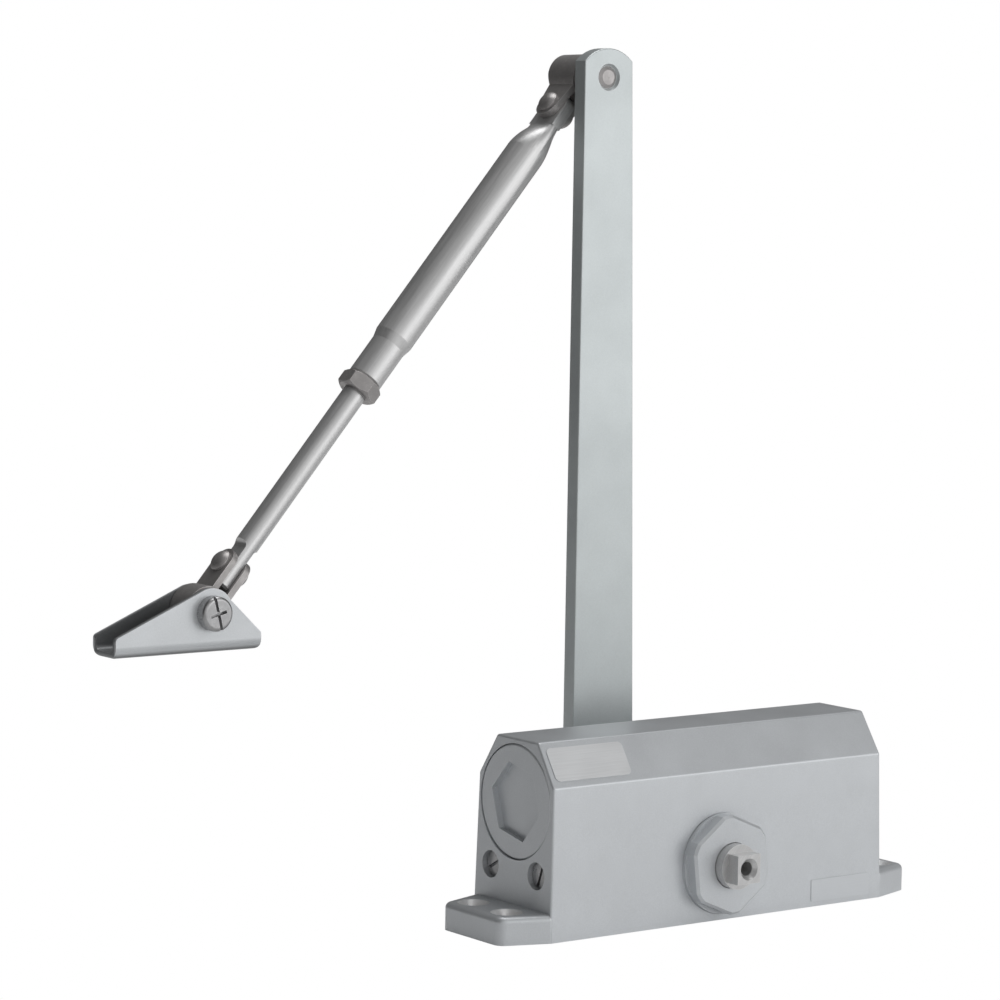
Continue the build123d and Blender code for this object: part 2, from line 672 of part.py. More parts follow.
# ---------------------------------------------------------------- forearm tube
with BuildPart() as forearm_tube:
    # Flattened tongue inside the elbow fork, rounded about the fork rivet
    with BuildSketch(fore_plane(0)):
        with Locations((ELBOW_CROSS, 0)):
            Circle(6.8)
        with Locations(((ELBOW_CROSS + THROAT_AT) / 2, 0)):
            Rectangle(THROAT_AT - ELBOW_CROSS, 13.6)
    extrude(amount=FLAT_HALF, both=True)
    # Throat from the tongue to the round tube
    with BuildSketch(fore_section(THROAT_AT)):
        Rectangle(13.6, 2 * FLAT_HALF)
        fillet(vertices(), 1.6)
    with BuildSketch(fore_section(THROAT_AT + 4.5)):
        Ellipse(7.2, 4.6)
    with BuildSketch(fore_section(THROAT_END)):
        Circle(TUBE_R)
    loft()
    # Tube, step and swaged neck
    with BuildSketch(FORE):
        with BuildLine():
            Polyline(
                (THROAT_END, 0),
                (THROAT_END, TUBE_R),
                (STEP_AT, TUBE_R),
                (STEP_AT + 3.5, NECK_R),
                (TUBE_END - 0.6, NECK_R),
                (TUBE_END, NECK_R - 0.6),
                (TUBE_END, 0),
                close=True,
            )
        make_face()
    revolve(axis=FORE_AXIS)
    # Inside: threaded neck and clear bore
    with BuildSketch(FORE):
        with BuildLine():
            Polyline(
                (THROAT_END + 5, 0),
                (THROAT_END + 9, 5.4),
                (STEP_AT - 3.0, 5.4),
                (STEP_AT, THREAD_R + 0.08),
                (TUBE_END + 1, THREAD_R + 0.08),
                (TUBE_END + 1, 0),
                close=True,
            )
        make_face()
    revolve(axis=FORE_AXIS, mode=Mode.SUBTRACT)
    with BuildSketch(fore_plane(ELBOW_CROSS)):
        Circle(2.75)
    extrude(amount=20, both=True, mode=Mode.SUBTRACT)
save(forearm_tube.part, "forearm_tube")

with BuildPart() as lock_nut:
    with BuildSketch(fore_section(TUBE_END + 0.05)):
        RegularPolygon(LOCK_AF / 2, 6, major_radius=False, rotation=LOCK_TURN)
    extrude(amount=-LOCK_T)
    # Corner chamfers on both faces
    with BuildSketch(FORE):
        with BuildLine():
            Polyline(
                (TUBE_END - 1, 0),
                (TUBE_END - 1, 6.2),
                (TUBE_END + 0.05, 6.2),
                (TUBE_END + 0.6, 7.0),
                (TUBE_END + 1.3, 7.8),
                (TUBE_END + LOCK_T - 1.2, 7.8),
                (TUBE_END + LOCK_T - 0.5, 7.0),
                (TUBE_END + LOCK_T + 0.05, 6.2),
                (TUBE_END + LOCK_T + 1, 6.2),
                (TUBE_END + LOCK_T + 1, 0),
                close=True,
            )
        make_face()
    revolve(axis=FORE_AXIS, mode=Mode.INTERSECT)
    with BuildSketch(fore_section(TUBE_END - 1)):
        Circle(THREAD_R + 0.08)
    extrude(amount=-LOCK_T - 4, mode=Mode.SUBTRACT)
save(lock_nut.part, "lock_nut")

# ---------------------------------------------------------------- adjusting rod
rod_top = 72.0
thread_end = TUBE_END + LOCK_T
rod_end = FORE_LEN - SHOE_CROSS + 7.2
with BuildPart() as adjusting_rod:
    with BuildSketch(FORE):
        with BuildLine():
            Polyline(
                (rod_top, 0),
                (rod_top, THREAD_R - 1.0),
                (rod_top + 1.0, THREAD_R),
                (thread_end + 0.3, THREAD_R),
                (thread_end + 0.5, ROD_R),
                (rod_end - 0.8, ROD_R),
                (rod_end, ROD_R - 0.8),
                (rod_end, 0),
                close=True,
            )
        make_face()
    revolve(axis=FORE_AXIS)
    # Two flats for the fork, each ending in the round of the cutter
    with BuildSketch(FORE):
        for side in (-1, 1):
            with BuildLine():
                Line((rod_end + 5, side * FLAT_HALF), (ROD_FLAT_AT + CUTTER_RUN, side * FLAT_HALF))
                Spline(
                    (ROD_FLAT_AT + CUTTER_RUN, side * FLAT_HALF),
                    (ROD_FLAT_AT + 0.9, side * (FLAT_HALF + 0.5)),
                    (ROD_FLAT_AT, side * (ROD_R + 0.3)),
                )
                Polyline(
                    (ROD_FLAT_AT, side * (ROD_R + 0.3)),
                    (rod_end + 5, side * (ROD_R + 0.3)),
                    (rod_end + 5, side * FLAT_HALF),
                )
            make_face()
    extrude(amount=20, both=True, mode=Mode.SUBTRACT)
    with BuildSketch(fore_plane(FORE_LEN - SHOE_CROSS)):
        Circle(2.75)
    extrude(amount=20, both=True, mode=Mode.SUBTRACT)
save(adjusting_rod.part, "adjusting_rod")

# ---------------------------------------------------------------- shoe
with BuildPart() as shoe:
    # U section, bent from one plate
    with BuildSketch(Plane.YZ.offset(SHOE_X)):
        with Locations((FORE_Y, SHOE_BASE_Z + 15)):
            Rectangle(SHOE_BACK - SHOE_FRONT, 30)
        outer_corners = vertices().group_by(Axis.Z)[0]
        fillet(outer_corners, SHOE_BEND)
        with BuildSketch(mode=Mode.PRIVATE) as channel:
            with Locations((FORE_Y, SHOE_BASE_Z + 15 + SHOE_T)):
                Rectangle(SHOE_BACK - SHOE_FRONT - 2 * SHOE_T, 30)
            fillet(channel.vertices().group_by(Axis.Y)[0], SHOE_BEND - SHOE_T)
        add(channel.sketch, mode=Mode.SUBTRACT)
    extrude(amount=60, both=True)
    # Cheek outline, seen from the front
    with BuildSketch(Plane(origin=(SHOE_X, 0, SHOE_Z), x_dir=(1, 0, 0), z_dir=(0, -1, 0))):
        base = SHOE_BASE_Z - SHOE_Z
        Circle(8.3)
        with BuildLine():
            Polyline(
                (-36.7, base),
                (-36.7, -6.6),
                (-3.9, 7.33),
                (4.0, 7.27),
                (19.6, -7.6),
                (19.6, base),
                close=True,
            )
        make_face()
        fillet([v for v in vertices() if abs(Vector(v).X) > 15], 1.5)
    extrude(amount=-120, mode=Mode.INTERSECT)
    # Pivot hole through both cheeks, and the two fixing holes in the base
    with BuildSketch(y_plane(SHOE_FRONT - 1, SHOE_X, SHOE_Z)):
        Circle(3.2)
    extrude(amount=20, mode=Mode.SUBTRACT)
    with Locations(Plane(origin=(SHOE_X - 9, FORE_Y, SHOE_BASE_Z + SHOE_T))):
        with GridLocations(SHOE_HOLES, 10, 2, 1):
            Hole(radius=2.75, depth=8)
save(shoe.part, "shoe")

with BuildPart() as shoe_bush:
    with BuildSketch(y_plane(SHOE_FRONT + SHOE_T + 0.05, SHOE_X, SHOE_Z)):
        Circle(5.4)
        Circle(3.15, mode=Mode.SUBTRACT)
    extrude(amount=SHOE_BACK - SHOE_FRONT - 2 * SHOE_T - 0.1)
save(shoe_bush.part, "shoe_bush")

with BuildPart() as shoe_screw:
    with BuildSketch(y_plane(SHOE_FRONT, SHOE_X, SHOE_Z)):
        Circle(5.9)
    extrude(amount=-4.4)
    fillet(shoe_screw.edges().group_by(Axis.Y)[0], 1.3)
    with BuildSketch(y_plane(SHOE_FRONT, SHOE_X, SHOE_Z)):
        Circle(3.0)
    extrude(amount=20.4)
    with BuildSketch(y_plane(SHOE_FRONT - 4.4, SHOE_X, SHOE_Z)):
        Rectangle(1.1, 14, rotation=-14)
        Rectangle(6.4, 1.1, rotation=-14)
    extrude(amount=1.8, mode=Mode.SUBTRACT)
save(shoe_screw.part, "shoe_screw")

with BuildPart() as shoe_nut:
    with BuildSketch(y_plane(SHOE_BACK + 0.02, SHOE_X, SHOE_Z)):
        RegularPolygon(5.0, 6, major_radius=False)
        Circle(3.05, mode=Mode.SUBTRACT)
    extrude(amount=5.0)
save(shoe_nut.part, "shoe_nut")

# ---------------------------------------------------------------- plates
# Blank name plate on the front chamfer and blank data plate on the front side
cham = Vector(0, SIDE_HALF_SHOULDER - TOP_HALF, BODY_H - SHOULDER_Z).normalized()
cham_normal = Vector(0, -cham.Z, cham.Y)
cham_mid = Vector(-54.8, -(SIDE_HALF_SHOULDER + TOP_HALF) / 2, (SHOULDER_Z + BODY_H) / 2)
with BuildPart() as name_plate:
    with BuildSketch(Plane(origin=cham_mid + cham_normal * 0.02, x_dir=(1, 0, 0), z_dir=cham_normal)):
        RectangleRounded(32.0, 12.2, 1.8)
    extrude(amount=0.25)
save(name_plate.part, "name_plate")

side_draft = Vector(0, SIDE_HALF_BASE - SIDE_HALF_SHOULDER, SHOULDER_Z).normalized()
side_normal = Vector(0, -side_draft.Z, side_draft.Y)
side_mid = Vector(54.5, -SIDE_HALF_BASE + 5.7 * side_draft.Y / side_draft.Z, 5.7)
with BuildPart() as data_plate:
    with BuildSketch(Plane(origin=side_mid + side_normal * 0.02, x_dir=(1, 0, 0), z_dir=side_normal)):
        RectangleRounded(27.0, 7.6, 0.6)
    extrude(amount=0.2)
save(data_plate.part, "data_plate")
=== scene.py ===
import json
import math

import bmesh
import bpy
from mathutils import Matrix, Vector


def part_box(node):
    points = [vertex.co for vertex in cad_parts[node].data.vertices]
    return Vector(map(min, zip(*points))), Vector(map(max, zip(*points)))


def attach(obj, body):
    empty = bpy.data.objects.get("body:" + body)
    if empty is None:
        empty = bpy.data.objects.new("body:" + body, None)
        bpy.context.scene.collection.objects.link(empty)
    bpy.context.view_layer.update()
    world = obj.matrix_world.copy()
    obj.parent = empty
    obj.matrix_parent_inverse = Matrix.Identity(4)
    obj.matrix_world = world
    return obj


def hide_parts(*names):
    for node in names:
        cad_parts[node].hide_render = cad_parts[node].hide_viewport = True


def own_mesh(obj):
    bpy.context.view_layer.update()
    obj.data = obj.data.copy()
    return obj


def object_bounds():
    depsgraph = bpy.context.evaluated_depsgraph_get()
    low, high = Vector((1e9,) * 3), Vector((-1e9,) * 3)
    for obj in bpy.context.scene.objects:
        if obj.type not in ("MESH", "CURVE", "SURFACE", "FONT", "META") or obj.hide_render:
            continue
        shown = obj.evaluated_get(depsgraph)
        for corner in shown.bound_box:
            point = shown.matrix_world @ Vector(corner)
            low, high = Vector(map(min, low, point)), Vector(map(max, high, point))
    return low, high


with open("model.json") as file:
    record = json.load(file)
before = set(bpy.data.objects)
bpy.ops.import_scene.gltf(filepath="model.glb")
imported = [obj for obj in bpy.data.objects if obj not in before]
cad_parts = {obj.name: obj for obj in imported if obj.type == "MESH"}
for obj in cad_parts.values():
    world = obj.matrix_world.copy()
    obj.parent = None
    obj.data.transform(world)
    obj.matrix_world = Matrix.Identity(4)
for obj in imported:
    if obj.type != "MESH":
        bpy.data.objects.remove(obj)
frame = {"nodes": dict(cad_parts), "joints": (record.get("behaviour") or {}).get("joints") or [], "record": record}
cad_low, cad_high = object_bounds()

# Everything is in metres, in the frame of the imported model.
MM = 0.001

# Camera: place, direction and lens of the view that the object is shown from
CAMERA_AT = Vector((-0.784, -0.948, 0.2532))
CAMERA_YAW = 0.6376
CAMERA_PITCH = -0.090
CAMERA_ROLL = 0.0173
CAMERA_LENS = 128.277
CAMERA_SENSOR = 36.0
CAMERA_NEAR = 0.05

# Light: a room whose six walls each have their own brightness, and two soft lamps
WHITE = (1.0, 1.0, 1.0)
ROOM = {
    (1, 0, 0): 0.12,
    (-1, 0, 0): 0.02,
    (0, 1, 0): 0.14,
    (0, -1, 0): 1.30,
    (0, 0, 1): 0.16,
    (0, 0, -1): 0.20,
}
WALL_FALLOFF = 2.0
LAMPS = {
    "key": {"at": (1.3, -1.7, 0.25), "aim": (0.0, 0.0, 0.15), "size": (2.2, 2.0), "power": 16.0},
    "top": {"at": (0.3, 0.1, 1.6), "aim": (0.0, 0.0, 0.1), "size": (1.0, 1.0), "power": 11.0},
}

# Floor: opaque round the object, and faded out further away
FLOOR_SHADE = (0.86, 0.86, 0.86)
FLOOR_ROUGH = 0.9
FLOOR_SHINE = 0.1
FLOOR_GLOW = 0.09
FLOOR_GAP = 0.2 * MM
FLOOR_HALF = 4.0
FLOOR_FADE_START = 0.45
FLOOR_FADE_END = 1.3

# Finishes, as linear colours
PAINT = (0.57, 0.59, 0.61)
PAINT_WORN = (0.74, 0.75, 0.76)
PAINT_METAL = 0.55
PAINT_ROUGH = 0.40
ARM_PAINT = (0.50, 0.535, 0.54)
DRAWN_STEEL = (0.57, 0.57, 0.57)
STAMPED_STEEL = (0.42, 0.405, 0.40)
ZINC_STEEL = (0.40, 0.40, 0.405)
GROUND_STEEL = (0.42, 0.42, 0.43)
BRASS = (0.62, 0.45, 0.18)
NAME_PLATE = (0.70, 0.71, 0.72)
DATA_PLATE = (0.585, 0.605, 0.625)
RUBBER_DARK = (0.016, 0.016, 0.017)
RUBBER_PALE = (0.035, 0.034, 0.034)

# Cosine between face and rounded normal: below the first it is all edge, above the second all face
EDGE_COSINES = (0.80, 0.985)
EDGE_SAMPLES = 4

# Noise values from the first to the second are spread over a whole range
NOISE_SPAN = (0.3, 0.7)

# The shoe is a little lighter than the arm, and has painted shade inside its channel
SHOE_STARTS = -60 * MM
SHOE_BLEND = 5 * MM
SHOE_SHADE = (1.17, 1.13, 1.15)
SHOE_CHANNEL_SHADE = (0.34, 0.34, 0.34)
SHOE_MID = 62.5 * MM
SHOE_INSIDE = (6.0 * MM, 7.0 * MM)

# Countersunk mounting holes, with bare metal in the countersinks
HOLE_AT = (83 * MM, 9.5 * MM)
HOLE_SINK = 5.6 * MM
HOLE_RIM = 0.3 * MM
HOLE_SMOOTHER = 0.10
BARE_DARK = (0.86, 0.86, 0.86)
BARE_PALE = (0.95, 0.95, 0.95)

# Springs: CAD node, wire thickness, turns, and 1 for a right-hand or -1 for a left-hand coil
SPRINGS = {
    "outer_spring_coil": ("spring_outer", 3.1 * MM, 6, 1),
    "inner_spring_coil": ("spring_inner", 2.4 * MM, 7, -1),
}
# Part of a turn that lies flat at each end, and fineness of the mesh
SPRING_FLAT = 0.6
SPRING_STEPS = 28
WIRE_SIDES = 12

# Height of the cylinder bore, and slope of the forearm
CAP_LOW, CAP_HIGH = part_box("end_cap_left")
BORE_Z = (CAP_LOW.z + CAP_HIGH.z) / 2
FORE_ALONG = Vector(next(j["axis"] for j in frame["joints"] if j["name"] == "rod_adjust"))
FORE_TILT = math.atan2(-FORE_ALONG.z, -FORE_ALONG.x)


# ------------------------------------------------------------ camera and light
def make_camera():
    data = bpy.data.cameras.new("camera")
    data.sensor_width = CAMERA_SENSOR
    data.lens = CAMERA_LENS
    data.clip_start = CAMERA_NEAR
    camera = bpy.data.objects.new("camera", data)
    bpy.context.scene.collection.objects.link(camera)
    turn = Matrix.Rotation(-CAMERA_YAW, 4, "Z")
    tilt = Matrix.Rotation(math.pi / 2 + CAMERA_PITCH, 4, "X")
    roll = Matrix.Rotation(CAMERA_ROLL, 4, "Z")
    camera.matrix_world = Matrix.Translation(CAMERA_AT) @ turn @ tilt @ roll
    bpy.context.scene.camera = camera


def make_lamp(name, lamp):
    data = bpy.data.lights.new(name, "AREA")
    data.shape = "RECTANGLE"
    data.size, data.size_y = lamp["size"]
    data.energy = lamp["power"]
    light = bpy.data.objects.new(name, data)
    bpy.context.scene.collection.objects.link(light)
    place = Vector(lamp["at"])
    aim = (Vector(lamp["aim"]) - place).to_track_quat("-Z", "Y")
    light.matrix_world = Matrix.Translation(place) @ aim.to_matrix().to_4x4()


def add_node(tree, kind, **settings):
    """A new shader node with its settings."""
    made = tree.nodes.new(kind)
    for key, value in settings.items():
        setattr(made, key, value)
    return made


def make_world():
    """A white backdrop for the camera; to everything else, a room of walls that differ."""
    world = bpy.data.worlds.new("studio")
    bpy.context.scene.world = world
    world.use_nodes = True
    tree = world.node_tree
    tree.nodes.clear()
    out = add_node(tree, "ShaderNodeOutputWorld")
    mix = add_node(tree, "ShaderNodeMixShader")
    path = add_node(tree, "ShaderNodeLightPath")
    seen = add_node(tree, "ShaderNodeBackground")
    seen.inputs["Color"].default_value = (*WHITE, 1.0)
    room = add_node(tree, "ShaderNodeBackground")
    coords = add_node(tree, "ShaderNodeTexCoord")
    total = None
    for wall, level in ROOM.items():
        facing = add_node(tree, "ShaderNodeVectorMath", operation="DOT_PRODUCT")
        facing.inputs[1].default_value = wall
        front = add_node(tree, "ShaderNodeMath", operation="MAXIMUM")
        front.inputs[1].default_value = 0.0
        lobe = add_node(tree, "ShaderNodeMath", operation="POWER")
        lobe.inputs[1].default_value = WALL_FALLOFF
        part = add_node(tree, "ShaderNodeMath", operation="MULTIPLY_ADD")
        part.inputs[1].default_value = level
        part.inputs[2].default_value = 0.0
        tree.links.new(coords.outputs["Generated"], facing.inputs[0])
        tree.links.new(facing.outputs["Value"], front.inputs[0])
        tree.links.new(front.outputs["Value"], lobe.inputs[0])
        tree.links.new(lobe.outputs["Value"], part.inputs[0])
        if total is not None:
            tree.links.new(total, part.inputs[2])
        total = part.outputs["Value"]
    tree.links.new(total, room.inputs["Strength"])
    tree.links.new(path.outputs["Is Camera Ray"], mix.inputs["Fac"])
    tree.links.new(room.outputs["Background"], mix.inputs[1])
    tree.links.new(seen.outputs["Background"], mix.inputs[2])
    tree.links.new(mix.outputs["Shader"], out.inputs["Surface"])


def make_floor():
    """A pale floor that lights the part from below.

    The arm can swing down past the mounting face, so the camera looks through the floor, and from
    below it is clear to light as well."""
    mesh = bpy.data.meshes.new("floor")
    half = FLOOR_HALF
    level = cad_low.z - FLOOR_GAP
    corners = [(x, y, level) for x, y in ((-half, -half), (half, -half), (half, half), (-half, half))]
    mesh.from_pydata(corners, [], [(0, 1, 2, 3)])
    floor = bpy.data.objects.new("floor", mesh)
    bpy.context.scene.collection.objects.link(floor)
    floor.visible_camera = False
    material = bpy.data.materials.new("floor")
    material.use_nodes = True
    tree = material.node_tree
    shader = tree.nodes["Principled BSDF"]
    shader.inputs["Base Color"].default_value = (*FLOOR_SHADE, 1.0)
    shader.inputs["Roughness"].default_value = FLOOR_ROUGH
    shader.inputs["Specular IOR Level"].default_value = FLOOR_SHINE
    shader.inputs["Emission Color"].default_value = (*WHITE, 1.0)
    shader.inputs["Emission Strength"].default_value = FLOOR_GLOW
    clear = add_node(tree, "ShaderNodeBsdfTransparent")
    mix = add_node(tree, "ShaderNodeMixShader")
    coords = add_node(tree, "ShaderNodeTexCoord")
    length = add_node(tree, "ShaderNodeVectorMath", operation="LENGTH")
    fade = add_node(tree, "ShaderNodeMapRange", interpolation_type="SMOOTHSTEP")
    fade.inputs["From Min"].default_value = FLOOR_FADE_START
    fade.inputs["From Max"].default_value = FLOOR_FADE_END
    side = add_node(tree, "ShaderNodeNewGeometry")
    unseen = add_node(tree, "ShaderNodeMath", operation="MAXIMUM")
    tree.links.new(coords.outputs["Object"], length.inputs[0])
    tree.links.new(length.outputs["Value"], fade.inputs["Value"])
    tree.links.new(fade.outputs["Result"], unseen.inputs[0])
    tree.links.new(side.outputs["Backfacing"], unseen.inputs[1])
    tree.links.new(unseen.outputs["Value"], mix.inputs["Fac"])
    tree.links.new(shader.outputs["BSDF"], mix.inputs[1])
    tree.links.new(clear.outputs["BSDF"], mix.inputs[2])
    tree.links.new(mix.outputs["Shader"], tree.nodes["Material Output"].inputs["Surface"])
    mesh.materials.append(material)


def make_studio():
    bpy.context.scene.view_settings.view_transform = "Standard"
    make_world()
    make_floor()
    for name, lamp in LAMPS.items():
        make_lamp(name, lamp)


# ------------------------------------------------------------------- materials
class Surface:
    """A procedural material, with short names for the nodes that the finishes are made of."""

    def __init__(self, name, metallic):
        self.material = bpy.data.materials.new(name)
        self.material.use_nodes = True
        self.tree = self.material.node_tree
        self.shader = self.tree.nodes["Principled BSDF"]
        self.shader.inputs["Metallic"].default_value = metallic
        self.place = self.node("ShaderNodeTexCoord").outputs["Object"]

    def node(self, kind, **settings):
        return add_node(self.tree, kind, **settings)

    def link(self, source, target):
        self.tree.links.new(source, target)

    def stretched(self, scale, tilt=0.0):
        """Coordinates turned about Y by tilt and scaled."""
        turn = self.node("ShaderNodeVectorRotate", rotation_type="Y_AXIS")
        turn.inputs["Angle"].default_value = tilt
        grow = self.node("ShaderNodeVectorMath", operation="MULTIPLY")
        grow.inputs[1].default_value = scale
        self.link(self.place, turn.inputs["Vector"])
        self.link(turn.outputs["Vector"], grow.inputs[0])
        return grow.outputs["Vector"]

    def near(self, place):
        """Distance in plan from a point and its mirror images in X and Y."""
        fold = self.node("ShaderNodeVectorMath", operation="ABSOLUTE")
        self.link(self.place, fold.inputs[0])
        move = self.node("ShaderNodeVectorMath", operation="SUBTRACT")
        move.inputs[1].default_value = (*place, 0.0)
        self.link(fold.outputs["Vector"], move.inputs[0])
        flat = self.node("ShaderNodeVectorMath", operation="MULTIPLY")
        flat.inputs[1].default_value = (1.0, 1.0, 0.0)
        self.link(move.outputs["Vector"], flat.inputs[0])
        length = self.node("ShaderNodeVectorMath", operation="LENGTH")
        self.link(flat.outputs["Vector"], length.inputs[0])
        return length.outputs["Value"]

    def part(self, letter):
        """One coordinate of the place."""
        apart = self.node("ShaderNodeSeparateXYZ")
        self.link(self.place, apart.inputs["Vector"])
        return apart.outputs[letter]

    def mixed(self, factor, first, second, **settings):
        """A mix of two colours; the factor and each colour may be a value or a socket."""
        made = self.node("ShaderNodeMix", data_type="RGBA", **settings)
        pairs = [(made.inputs["Factor"], factor)]
        for key, value in (("A", first), ("B", second)):
            socket = next(s for s in made.inputs if s.name == key and s.type == "RGBA")
            pairs.append((socket, (*value, 1.0) if isinstance(value, tuple) else value))
        for socket, value in pairs:
            if isinstance(value, (float, tuple)):
                socket.default_value = value
            else:
                self.link(value, socket)
        return next(s for s in made.outputs if s.type == "RGBA")

    def blend(self, factor, first, second):
        return self.mixed(factor, first, second)

    def tint(self, colour, by):
        """One colour multiplied by another."""
        return self.mixed(1.0, colour, by, blend_type="MULTIPLY")

    def noise(self, size, detail=3.0, vector=None, roughness=0.55):
        made = self.node("ShaderNodeTexNoise")
        made.inputs["Scale"].default_value = 1.0 / size
        made.inputs["Detail"].default_value = detail
        made.inputs["Roughness"].default_value = roughness
        self.link(vector or self.place, made.inputs["Vector"])
        return made.outputs["Fac"]

    def spread(self, value, low, high, start=NOISE_SPAN[0], stop=NOISE_SPAN[1]):
        """Value from start..stop spread over low..high."""
        made = self.node("ShaderNodeMapRange")
        made.inputs["From Min"].default_value = start
        made.inputs["From Max"].default_value = stop
        made.inputs["To Min"].default_value = low
        made.inputs["To Max"].default_value = high
        self.link(value, made.inputs["Value"])
        return made.outputs["Result"]

    def math(self, operation, first, second):
        made = self.node("ShaderNodeMath", operation=operation)
        for socket, value in zip(made.inputs, (first, second)):
            if isinstance(value, float):
                socket.default_value = value
            else:
                self.link(value, socket)
        return made.outputs["Value"]

    def edges(self, radius):
        """1 on sharp edges, 0 on faces."""
        bevel = self.node("ShaderNodeBevel", samples=EDGE_SAMPLES)
        bevel.inputs["Radius"].default_value = radius
        geometry = self.node("ShaderNodeNewGeometry")
        agree = self.node("ShaderNodeVectorMath", operation="DOT_PRODUCT")
        self.link(bevel.outputs["Normal"], agree.inputs[0])
        self.link(geometry.outputs["Normal"], agree.inputs[1])
        return self.spread(agree.outputs["Value"], 1.0, 0.0, *EDGE_COSINES)

    def bump(self, height, depth):
        """Fine relief, on top of any that is there already."""
        made = self.node("ShaderNodeBump")
        made.inputs["Distance"].default_value = depth
        made.inputs["Strength"].default_value = 1.0
        previous = self.shader.inputs["Normal"].links
        if previous:
            self.link(previous[0].from_socket, made.inputs["Normal"])
        self.link(height, made.inputs["Height"])
        self.link(made.outputs["Normal"], self.shader.inputs["Normal"])

    def colour(self, value):
        self.link(value, self.shader.inputs["Base Color"])

    def roughness(self, value):
        self.link(value, self.shader.inputs["Roughness"])


def scaled(colour, factor):
    return tuple(min(1.0, c * factor) for c in colour)


def shoe_shades(s, colour):
    """The tone of the shoe and the painted shade inside its channel, beyond the end of the arm."""
    beyond = s.spread(s.part("X"), 1.0, 0.0, SHOE_STARTS - SHOE_BLEND, SHOE_STARTS)
    off_middle = s.math("ABSOLUTE", s.math("SUBTRACT", s.part("Y"), SHOE_MID), 0.0)
    # Painted shade: the paint is darkened inside the shoe's channel, where less light falls
    shaded_channel = s.math("MULTIPLY", beyond, s.spread(off_middle, 1.0, 0.0, *SHOE_INSIDE))
    shade = s.tint(colour, s.blend(beyond, WHITE, SHOE_SHADE))
    return s.tint(shade, s.blend(shaded_channel, WHITE, SHOE_CHANNEL_SHADE))


def paint(name, colour, shoe=False, holes=False):
    """Silver paint: metal flake, slight orange peel, handling marks and rubbed edges.

    With holes, bare metal shows in the countersinks of the mounting holes; with shoe, painted shade darkens the
    inside of the shoe's channel."""
    s = Surface(name, PAINT_METAL)
    flake = s.noise(0.45 * MM, 2.0)
    cloud = s.noise(14 * MM, 4.0)
    smudge = s.noise(30 * MM, 5.0)
    patches = s.spread(s.noise(3 * MM), 0.3, 0.7)
    base = s.blend(s.spread(flake, 0.0, 1.0), scaled(colour, 0.93), scaled(colour, 1.07))
    shade = s.blend(s.spread(cloud, 0.0, 1.0), scaled(colour, 0.95), scaled(colour, 1.04))
    wear = s.math("MULTIPLY", s.edges(0.5 * MM), s.spread(cloud, 0.25, 0.8))
    rubbed = s.blend(wear, s.blend(patches, base, shade), PAINT_WORN)
    rough = s.spread(smudge, PAINT_ROUGH - 0.04, PAINT_ROUGH + 0.06)
    rough = s.math("ADD", rough, s.spread(flake, -0.03, 0.03))
    # The shoe gets its lighter tone and painted shade inside its channel
    if shoe:
        rubbed = shoe_shades(s, rubbed)
    if holes:
        bare = s.spread(s.near(HOLE_AT), 1.0, 0.0, HOLE_SINK - HOLE_RIM, HOLE_SINK)
        rubbed = s.blend(bare, rubbed, s.blend(s.spread(flake, 0.0, 1.0), BARE_DARK, BARE_PALE))
        rough = s.math("SUBTRACT", rough, s.math("MULTIPLY", bare, HOLE_SMOOTHER))
    s.colour(rubbed)
    s.roughness(rough)
    s.bump(s.noise(1.1 * MM, 2.0), 0.012 * MM)
    s.bump(flake, 0.006 * MM)
    return s.material


def drawn_metal(name, colour, metallic, rough, tilt):
    """Drawn and plated steel with streaks along X, once X is turned about Y by tilt."""
    s = Surface(name, metallic)
    streak = s.noise(0.35 * MM, 3.0, s.stretched((0.02, 1.0, 1.0), tilt))
    wide = s.noise(2.2 * MM, 4.0, s.stretched((0.05, 1.0, 1.0), tilt))
    patches = s.spread(s.noise(8 * MM), 0.3, 0.7)
    base = s.blend(s.spread(streak, 0.0, 1.0), scaled(colour, 0.86), scaled(colour, 1.12))
    shade = s.blend(s.spread(wide, 0.0, 1.0), scaled(colour, 0.88), scaled(colour, 1.06))
    s.colour(s.blend(s.edges(0.3 * MM), s.blend(patches, base, shade), scaled(colour, 1.25)))
    broad = s.spread(wide, rough - 0.05, rough + 0.07)
    s.roughness(s.math("ADD", broad, s.spread(streak, -0.05, 0.05)))
    s.bump(streak, 0.008 * MM)
    return s.material


def stamped_metal(name, colour, rough, metallic=0.9, grain=0.8 * MM):
    """Plated stampings and turned parts: cloudy plating, small pits, rubbed edges."""
    s = Surface(name, metallic)
    cloud = s.noise(5 * MM, 5.0, roughness=0.65)
    speck = s.noise(grain, 3.0)
    base = s.blend(s.spread(cloud, 0.0, 1.0), scaled(colour, 0.78), scaled(colour, 1.15))
    both = s.blend(s.spread(speck, 0.0, 1.0), scaled(colour, 0.85), base)
    s.colour(s.blend(s.edges(0.35 * MM), both, scaled(colour, 1.6)))
    broad = s.spread(cloud, rough + 0.08, rough - 0.08)
    s.roughness(s.math("ADD", broad, s.spread(speck, -0.04, 0.04)))
    s.bump(speck, 0.010 * MM)
    return s.material


def foil(name, left, right):
    """Brushed foil stuck on the body: one shade on the left plate, another on the right one."""
    s = Surface(name, 0.50)
    streak = s.noise(0.35 * MM, 3.0, s.stretched((0.02, 1.0, 1.0)))
    cloud = s.noise(6 * MM, 3.0)
    side = s.spread(s.part("X"), 0.0, 1.0, -1 * MM, 1 * MM)
    light = s.blend(side, scaled(left, 1.03), scaled(right, 1.02))
    dark = s.blend(side, scaled(left, 0.95), scaled(right, 0.98))
    grain = s.blend(s.spread(streak, 0.0, 1.0), dark, light)
    wear = s.math("MULTIPLY", s.spread(cloud, 0.2, 0.6), s.edges(0.2 * MM))
    s.colour(s.blend(wear, grain, scaled(left, 1.12)))
    s.roughness(s.math("ADD", s.spread(cloud, 0.42, 0.50), s.spread(streak, -0.04, 0.04)))
    s.bump(streak, 0.004 * MM)
    return s.material


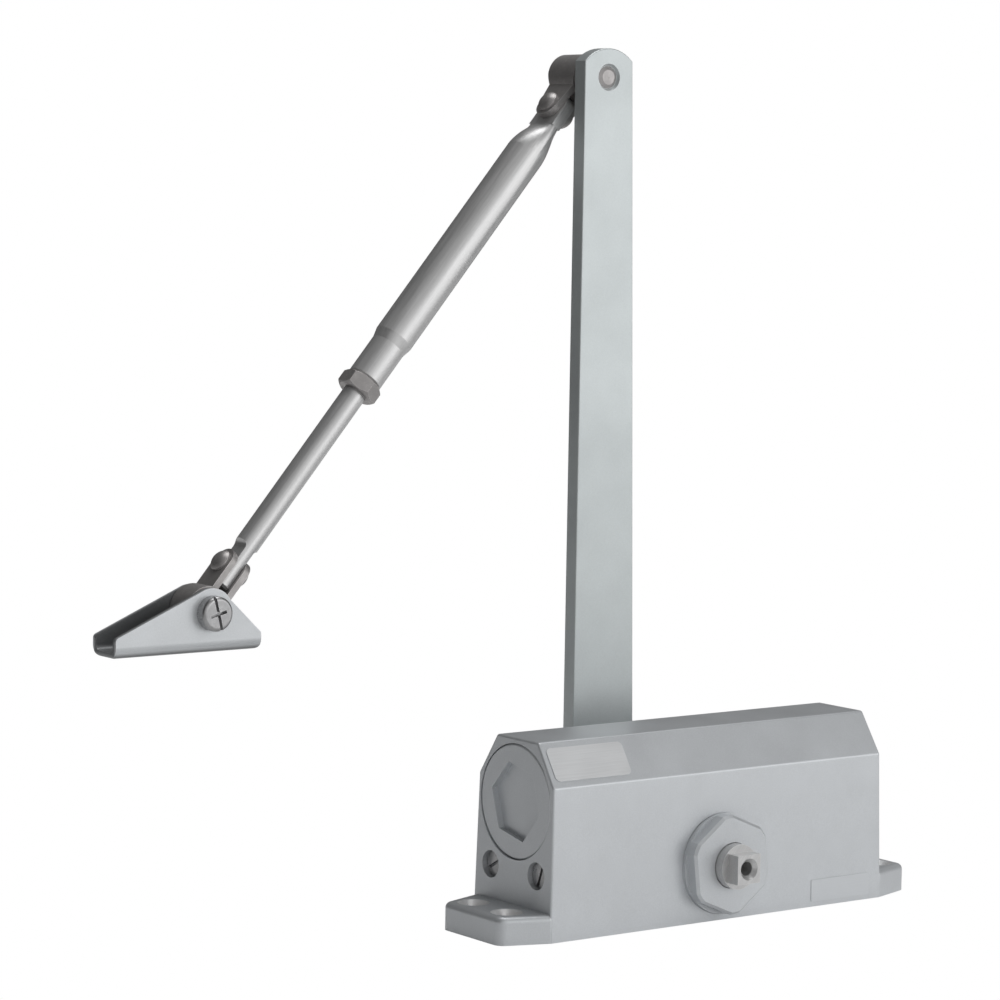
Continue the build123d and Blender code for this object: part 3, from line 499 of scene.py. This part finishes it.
def rubber(name):
    """Black rubber with a dull, slightly uneven skin."""
    s = Surface(name, 0.0)
    grain = s.noise(0.4 * MM, 3.0)
    s.colour(s.blend(s.spread(s.noise(3 * MM), 0.0, 1.0), RUBBER_DARK, RUBBER_PALE))
    s.roughness(s.spread(grain, 0.55, 0.75))
    s.bump(grain, 0.02 * MM)
    return s.material


def make_materials():
    """One material for each slot of the record."""
    return {
        "body_paint": paint("silver_paint_body", PAINT, holes=True),
        "arm_paint": paint("silver_paint_arm", ARM_PAINT, shoe=True),
        "bright_steel": drawn_metal("drawn_steel", DRAWN_STEEL, 0.7, 0.36, FORE_TILT),
        "dull_steel": stamped_metal("stamped_steel", STAMPED_STEEL, 0.46, metallic=0.75),
        "zinc_steel": stamped_metal("zinc_steel", ZINC_STEEL, 0.34),
        "hard_steel": stamped_metal("ground_steel", GROUND_STEEL, 0.25, grain=0.5 * MM),
        "brass": stamped_metal("turned_brass", BRASS, 0.30),
        "seal_rubber": rubber("seal_rubber"),
        "plate": foil("foil_plate", NAME_PLATE, DATA_PLATE),
    }


def dress_nodes(materials):
    """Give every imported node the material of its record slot."""
    for part in frame["record"]["subparts"]:
        mesh = frame["nodes"][part["node"]].data
        mesh.materials.clear()
        mesh.materials.append(materials[part["material_slot"]])


# ---------------------------------------------------------------------- pieces
def add_piece(name, mesh, material, body, slot, *nodes):
    """A finished mesh as a piece that rides on a body and stands for CAD nodes."""
    mesh.materials.append(material)
    piece = bpy.data.objects.new(name, mesh)
    bpy.context.scene.collection.objects.link(piece)
    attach(piece, body)
    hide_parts(*nodes)
    return piece


def skin(name, rings):
    """A mesh over rings of points, smooth along the sides and flat on both filled ends."""
    bm = bmesh.new()
    rows = [[bm.verts.new(point) for point in ring] for ring in rings]
    count = len(rows[0])
    for first, second in zip(rows, rows[1:]):
        for index in range(count):
            after = (index + 1) % count
            bm.faces.new((first[index], first[after], second[after], second[index]))
    bm.faces.new(list(reversed(rows[0])))
    bm.faces.new(rows[-1])
    bmesh.ops.recalc_face_normals(bm, faces=bm.faces)
    mesh = bpy.data.meshes.new(name)
    bm.to_mesh(mesh)
    bm.free()
    for face in mesh.polygons:
        face.use_smooth = len(face.vertices) == 4
    return mesh


def make_spring(name, node, thickness, turns, hand, material):
    """A coil spring over the length of its CAD node."""
    low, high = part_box(node)
    wire = thickness / 2
    radius = (high.y - low.y) / 2 - wire
    start, stop = low.x + wire, high.x - wire
    along_axis = Vector((1, 0, 0))
    steps = turns * SPRING_STEPS
    rings = []
    for step in range(steps + 1):
        part = step / steps
        turn = hand * part * turns * 2 * math.pi
        eased = (part * turns - SPRING_FLAT) / (turns - 2 * SPRING_FLAT)
        place = start + (stop - start) * min(max(eased, 0.0), 1.0)
        out = Vector((0, math.cos(turn), math.sin(turn)))
        centre = Vector((place, 0, BORE_Z)) + out * radius
        ring = []
        for side in range(WIRE_SIDES):
            angle = side * 2 * math.pi / WIRE_SIDES
            ring.append(centre + out * (wire * math.cos(angle)) + along_axis * (wire * math.sin(angle)))
        rings.append(ring)
    piece = add_piece(name, skin(name, rings), material, "body", "hard_steel", node)
    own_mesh(piece)


# ----------------------------------------------------------------------- build
make_camera()
make_studio()
materials = make_materials()
dress_nodes(materials)
for name, (node, thickness, turns, hand) in SPRINGS.items():
    make_spring(name, node, thickness, turns, hand, materials["hard_steel"])
